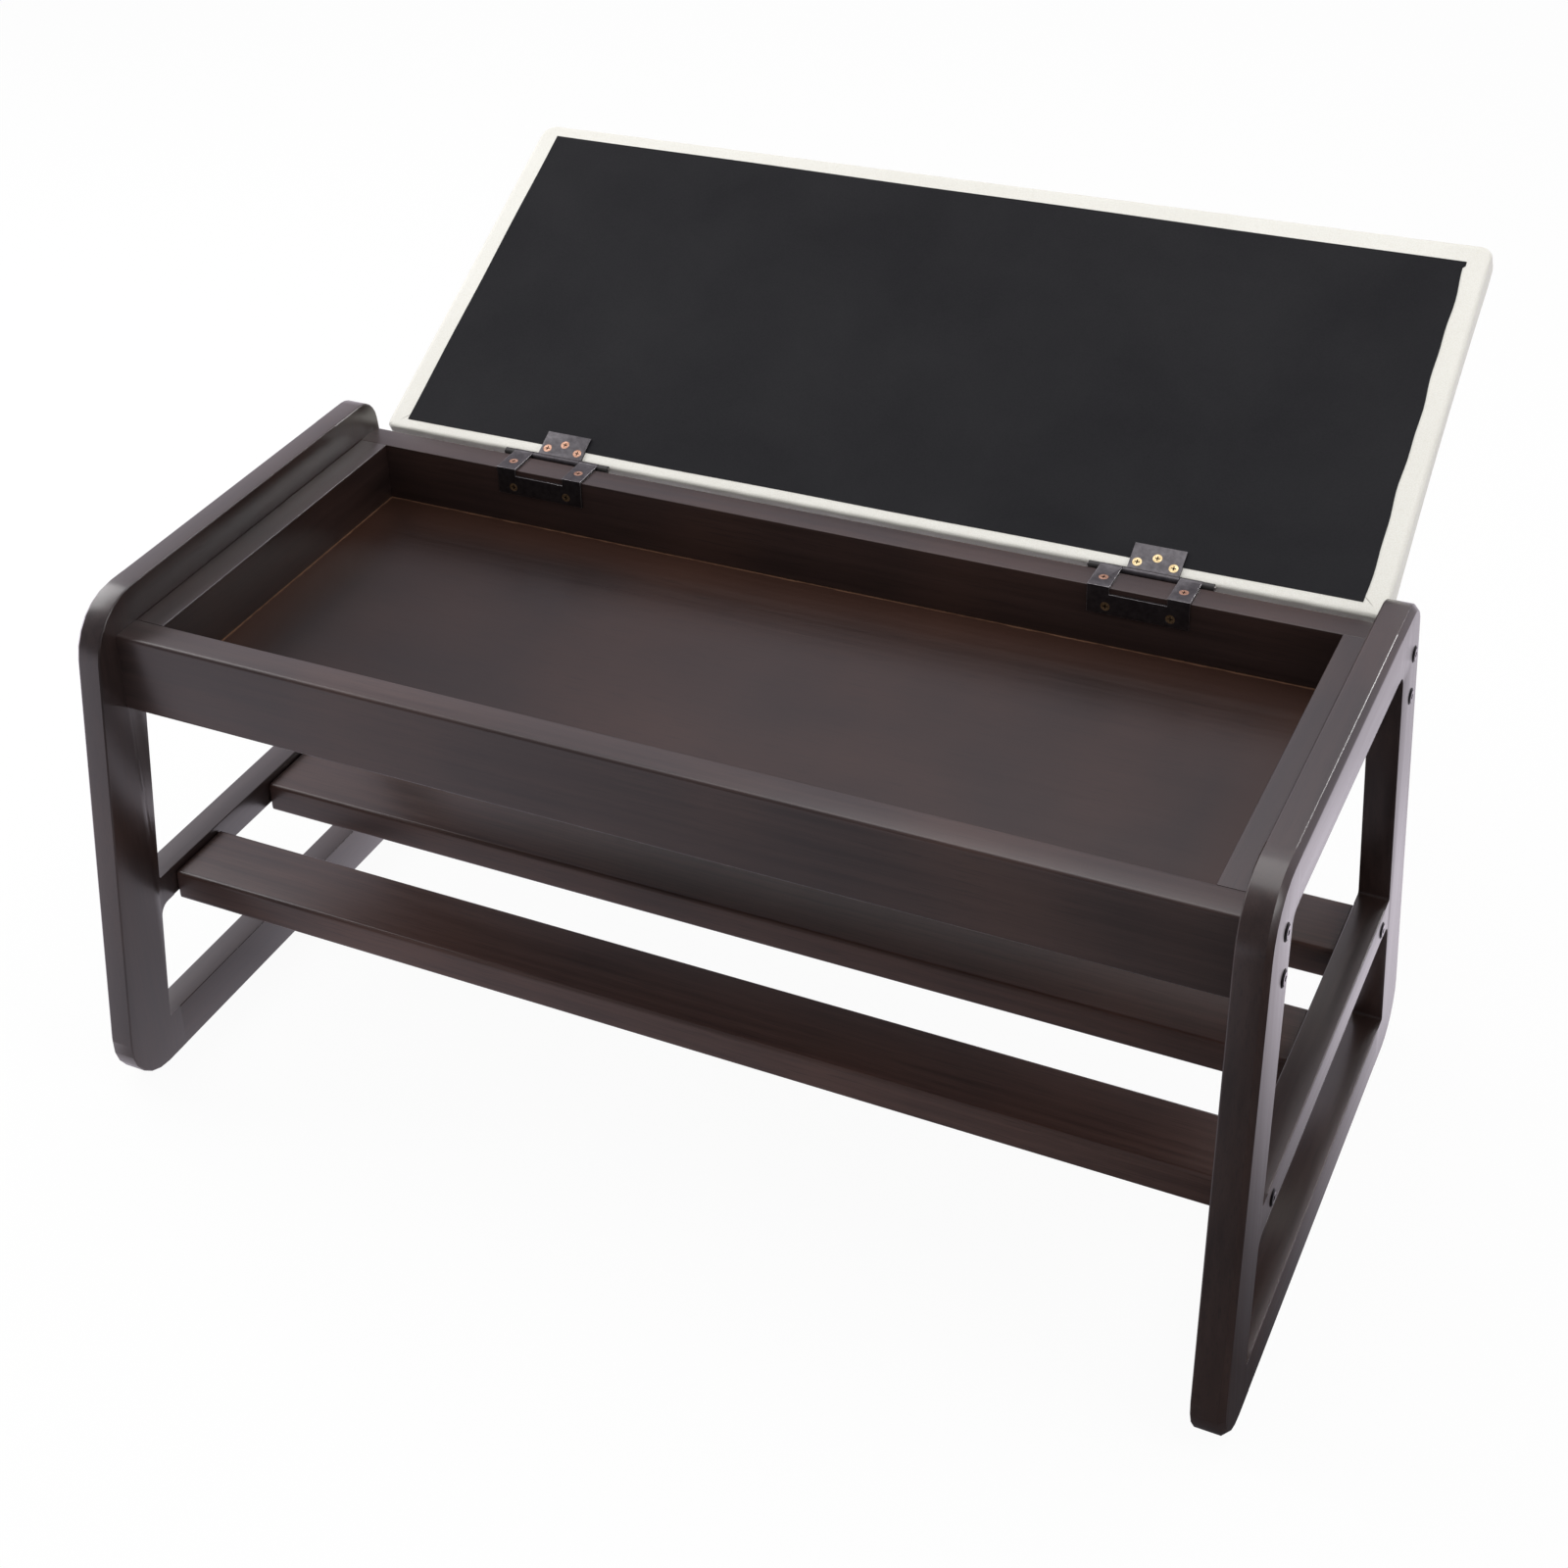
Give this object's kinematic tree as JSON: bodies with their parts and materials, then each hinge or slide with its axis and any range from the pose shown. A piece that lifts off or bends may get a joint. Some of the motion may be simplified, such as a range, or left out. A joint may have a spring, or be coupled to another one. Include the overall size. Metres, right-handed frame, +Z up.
{
  "type": "shoe storage bench",
  "caption": "Low bench with splayed loop side frames, a shallow tray under a padded flip-up lid on wrap-around hinges, and a slatted shoe shelf below.",
  "frame": {"origin": "on the floor, under the middle of the whole bench's box with its lid open", "axes": "+X along the bench to the right seen from the front, +Y to the back, +Z up"},
  "size_m": [0.9026, 0.7604, 0.5507],
  "materials": {
    "stained_wood": "dark espresso stain under a satin lacquer",
    "dowel_beech": "plain beech, fluted and glued",
    "frame_screw": "black zinc",
    "hinge_steel": "blackened steel sheet",
    "pin_steel": "turned steel",
    "insert_polymer": "black moulded polymer",
    "hinge_screw": "yellow-passivated, slightly tarnished",
    "seat_plywood": "raw plywood",
    "seat_foam": null,
    "seat_leather": "cream leatherette, fine grain",
    "lining_cloth": "black lining sheet"
  },
  "bodies": {
    "bench": {"left_front_leg": "stained_wood", "left_rear_leg": "stained_wood", "left_top_rail": "stained_wood", "left_bottom_rail": "stained_wood", "left_rung": "stained_wood", "right_front_leg": "stained_wood", "right_rear_leg": "stained_wood", "right_top_rail": "stained_wood", "right_bottom_rail": "stained_wood", "right_rung": "stained_wood", "front_apron": "stained_wood", "rear_rail": "stained_wood", "left_tray_wall": "stained_wood", "right_tray_wall": "stained_wood", "tray_floor": "stained_wood", "front_slat": "stained_wood", "middle_slat": "stained_wood", "rear_slat": "stained_wood", "left_frame_dowels": "dowel_beech", "right_frame_dowels": "dowel_beech", "tray_dowels": "dowel_beech", "slat_dowels": "dowel_beech", "left_frame_screws": "frame_screw", "right_frame_screws": "frame_screw", "left_hinge_bracket": "hinge_steel", "left_hinge_pin": "pin_steel", "left_hinge_inserts": "insert_polymer", "left_bracket_screws": "hinge_screw", "right_hinge_bracket": "hinge_steel", "right_hinge_pin": "pin_steel", "right_hinge_inserts": "insert_polymer", "right_bracket_screws": "hinge_screw"},
    "lid": {"seat_board": "seat_plywood", "seat_foam": "seat_foam", "seat_cover": "seat_leather", "underside_lining": "lining_cloth", "left_hinge_leaf": "hinge_steel", "left_leaf_bush": "insert_polymer", "left_leaf_screws": "hinge_screw", "right_hinge_leaf": "hinge_steel", "right_leaf_bush": "insert_polymer", "right_leaf_screws": "hinge_screw"}
  },
  "joints": [
    {"name": "lid_hinge", "type": "hinge", "parent": "bench", "child": "lid", "pos_m": [0, 0.05142, 0.3894], "axis": [1, 0, 0], "range_deg": [0, 152]}
  ]
}
